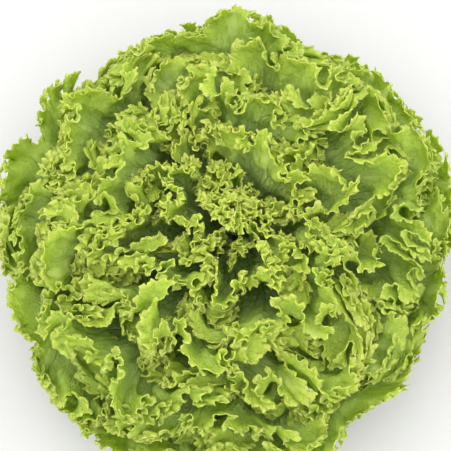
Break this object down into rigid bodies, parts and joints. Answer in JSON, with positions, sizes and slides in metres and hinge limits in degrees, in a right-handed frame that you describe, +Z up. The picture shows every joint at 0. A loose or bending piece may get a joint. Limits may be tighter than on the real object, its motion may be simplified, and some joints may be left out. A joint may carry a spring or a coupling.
{
  "type": "salad bowl lettuce",
  "caption": "Head of loose-leaf lettuce with broad, deeply frilled leaves in a dense dome, cut at its foot to stand on its stem; a leafy green for salads.",
  "frame": {"origin": "middle of the round cut face of the stem, on the surface that the head stands on", "axes": "+Z up the stem, from the cut to the heart; -Y is towards the viewer of the picture"},
  "size_m": [0.3017, 0.3125, 0.152],
  "materials": {
    "stem": "matt, moist and pale where it is cut",
    "outer_leaf": "satin leaf, mid green with lighter edges",
    "inner_leaf": "satin leaf, fresh green with bright edges",
    "heart_leaf": "satin leaf, pale yellow green"
  },
  "bodies": {
    "root": {"stem": "stem", "leaf_01": "outer_leaf", "leaf_02": "outer_leaf", "leaf_03": "outer_leaf", "leaf_04": "outer_leaf", "leaf_05": "outer_leaf", "leaf_06": "outer_leaf", "leaf_07": "outer_leaf", "leaf_08": "outer_leaf", "leaf_09": "outer_leaf", "leaf_10": "outer_leaf", "leaf_11": "outer_leaf", "leaf_12": "outer_leaf", "leaf_13": "outer_leaf", "leaf_14": "outer_leaf", "leaf_15": "outer_leaf", "leaf_16": "outer_leaf", "leaf_17": "outer_leaf", "leaf_18": "outer_leaf", "leaf_19": "outer_leaf", "leaf_20": "outer_leaf", "leaf_21": "outer_leaf", "leaf_22": "outer_leaf", "leaf_23": "inner_leaf", "leaf_24": "inner_leaf", "leaf_25": "inner_leaf", "leaf_26": "inner_leaf", "leaf_27": "inner_leaf", "leaf_28": "inner_leaf", "leaf_29": "inner_leaf", "leaf_30": "inner_leaf", "leaf_31": "inner_leaf", "leaf_32": "inner_leaf", "leaf_33": "inner_leaf", "leaf_34": "inner_leaf", "leaf_35": "heart_leaf", "leaf_36": "heart_leaf", "leaf_37": "heart_leaf", "leaf_38": "heart_leaf", "leaf_39": "heart_leaf", "leaf_40": "heart_leaf", "leaf_41": "heart_leaf", "leaf_42": "heart_leaf"}
  },
  "joints": []
}
